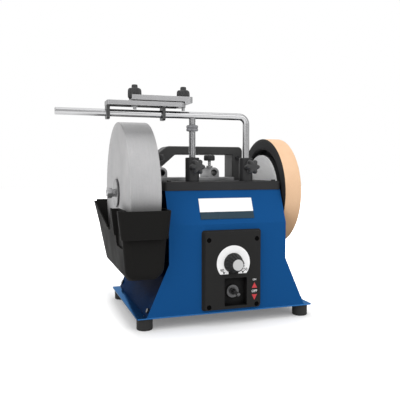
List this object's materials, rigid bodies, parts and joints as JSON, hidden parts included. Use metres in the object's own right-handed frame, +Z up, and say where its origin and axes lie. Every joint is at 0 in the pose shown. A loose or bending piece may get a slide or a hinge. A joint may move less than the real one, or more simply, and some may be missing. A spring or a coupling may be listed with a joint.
{
  "type": "wet sharpening machine",
  "caption": "Bench wet grinder with a slow grindstone in a water trough, a leather honing wheel, a speed dial and an upright tool support carrying a straight-edge jig.",
  "frame": {"origin": "middle of the whole outline, on the table", "axes": "+X along the spindle towards the honing wheel, +Y away from the operator, +Z up"},
  "size_m": [0.441, 0.297, 0.403],
  "materials": {
    "blue_paint": "glossy blue powder coat",
    "black_plastic": "fine satin black",
    "knob_plastic": "matt black",
    "sleeve_black": "satin black paint",
    "foot_rubber": "matt",
    "lining_rubber": "matt",
    "leather": "natural smooth tan",
    "grit_stone": "fine grit, matt",
    "chrome_rod": "polished",
    "steel_bright": "machined",
    "screw_dark": "blackened",
    "cast_grey": "fine bead blasted",
    "hub_silver": "fine cast",
    "bush_bronze": "machined bronze",
    "plate_white": "printed label, bare",
    "scale_white": "printed scale",
    "strip_dark": "printed label, bare",
    "cap_grey": "satin",
    "switch_black": "satin",
    "switch_metal": "plated",
    "board_green": "solder mask",
    "post_white": "nylon",
    "motor_paint": "dark grey paint",
    "core_steel": "laminated core"
  },
  "bodies": {
    "machine": {"base_plate": "blue_paint", "rubber_feet": "foot_rubber", "foot_screws": "screw_dark", "skirt_screws": "screw_dark", "housing_shell": "blue_paint", "trough_pins": "steel_bright", "cable_gland": "black_plastic", "top_cover": "black_plastic", "cover_screws": "screw_dark", "bearing_blocks": "cast_grey", "bearing_bushes": "bush_bronze", "carry_handle": "black_plastic", "handle_bolts": "screw_dark", "control_panel": "black_plastic", "panel_screws": "screw_dark", "board_posts": "post_white", "control_board": "board_green", "dial_scale": "scale_white", "potentiometer": "switch_metal", "toggle_switch": "switch_black", "toggle_ring": "switch_black", "name_plate": "plate_white", "model_strip": "strip_dark", "upright_sleeves": "sleeve_black", "sleeve_nuts": "screw_dark", "level_rack": "cast_grey", "motor_can": "motor_paint", "motor_bells": "cast_grey", "stator_core": "core_steel", "motor_cradle": "motor_paint", "motor_straps": "motor_paint", "cradle_screws": "screw_dark"},
    "spindle": {"main_shaft": "steel_bright", "grindstone": "grit_stone", "clamp_washers": "steel_bright", "stone_collar": "steel_bright", "spindle_nuts": "steel_bright", "honing_wheel": "black_plastic", "leather_band": "leather", "drive_lining": "lining_rubber", "hub_disc": "hub_silver"},
    "drive": {"drive_shaft": "steel_bright", "rotor_core": "core_steel"},
    "speed_dial": {"speed_knob": "black_plastic", "knob_cap": "cap_grey", "pot_spindle": "switch_metal"},
    "toggle": {"toggle_lever": "switch_metal"},
    "support": {"support_bar": "chrome_rod", "threaded_leg": "chrome_rod"},
    "adjuster": {"height_adjuster": "chrome_rod"},
    "star_left": {"star_knob_left": "knob_plastic"},
    "star_right": {"star_knob_right": "knob_plastic"},
    "level_left": {"level_knob_left": "knob_plastic"},
    "level_right": {"level_knob_right": "knob_plastic"},
    "jig": {"jig_base": "cast_grey"},
    "jig_plate": {"jig_clamp": "cast_grey"},
    "jig_grip_left": {"jig_knob_left": "knob_plastic"},
    "jig_grip_right": {"jig_knob_right": "knob_plastic"},
    "trough": {"water_trough": "black_plastic"}
  },
  "joints": [
    {"name": "spindle_spin", "type": "hinge", "parent": "machine", "child": "spindle", "pos_m": [-0.111, -0.0035, 0.222], "axis": [1, 0, 0], "continuous": true},
    {"name": "drive_spin", "type": "hinge", "parent": "machine", "child": "drive", "pos_m": [0.009, -0.0035, 0.1468], "axis": [1, 0, 0], "continuous": true},
    {"name": "support_lift", "type": "slide", "parent": "machine", "child": "support", "axis": [0, 0, 1], "range_m": [-0.008, 0.06]},
    {"name": "adjuster_travel", "type": "slide", "parent": "support", "child": "adjuster", "axis": [0, 0, 1], "range_m": [-0.03, 0.004]},
    {"name": "star_left_turn", "type": "hinge", "parent": "machine", "child": "star_left", "pos_m": [0.007, -0.1115, 0.268], "axis": [0, -1, 0], "range_deg": [0, 720]},
    {"name": "star_right_turn", "type": "hinge", "parent": "machine", "child": "star_right", "pos_m": [0.107, -0.1115, 0.268], "axis": [0, -1, 0], "range_deg": [0, 720]},
    {"name": "level_left_turn", "type": "hinge", "parent": "machine", "child": "level_left", "pos_m": [-0.0315, 0.0125, 0.28], "axis": [0, 0, 1], "range_deg": [0, 720]},
    {"name": "level_right_turn", "type": "hinge", "parent": "machine", "child": "level_right", "pos_m": [0.0685, 0.0125, 0.28], "axis": [0, 0, 1], "range_deg": [0, 720]},
    {"name": "jig_travel", "type": "slide", "parent": "support", "child": "jig", "axis": [1, 0, 0], "range_m": [-0.07, 0.04]},
    {"name": "jig_clamping", "type": "slide", "parent": "jig", "child": "jig_plate", "axis": [0, 0, 1], "range_m": [-0.0016, 0]},
    {"name": "jig_left_turn", "type": "hinge", "parent": "jig", "child": "jig_grip_left", "pos_m": [-0.0925, -0.0735, 0.403], "axis": [0, 0, 1], "range_deg": [0, 720]},
    {"name": "jig_right_turn", "type": "hinge", "parent": "jig", "child": "jig_grip_right", "pos_m": [-0.009, -0.0735, 0.403], "axis": [0, 0, 1], "range_deg": [0, 720]},
    {"name": "trough_lift", "type": "slide", "parent": "machine", "child": "trough", "axis": [0, 0, 1], "range_m": [0, 0.008]},
    {"name": "speed_turn", "type": "hinge", "parent": "machine", "child": "speed_dial", "pos_m": [0.0645, -0.1215, 0.106], "axis": [0, -1, 0], "range_deg": [-135, 135]},
    {"name": "toggle_flip", "type": "hinge", "parent": "machine", "child": "toggle", "pos_m": [0.0677, -0.109, 0.0555], "axis": [1, 0, 0], "range_deg": [-12, 12]}
  ],
  "couplings": [
    {"joint": "drive_spin", "follows": "spindle_spin", "ratio": 17.778}
  ]
}
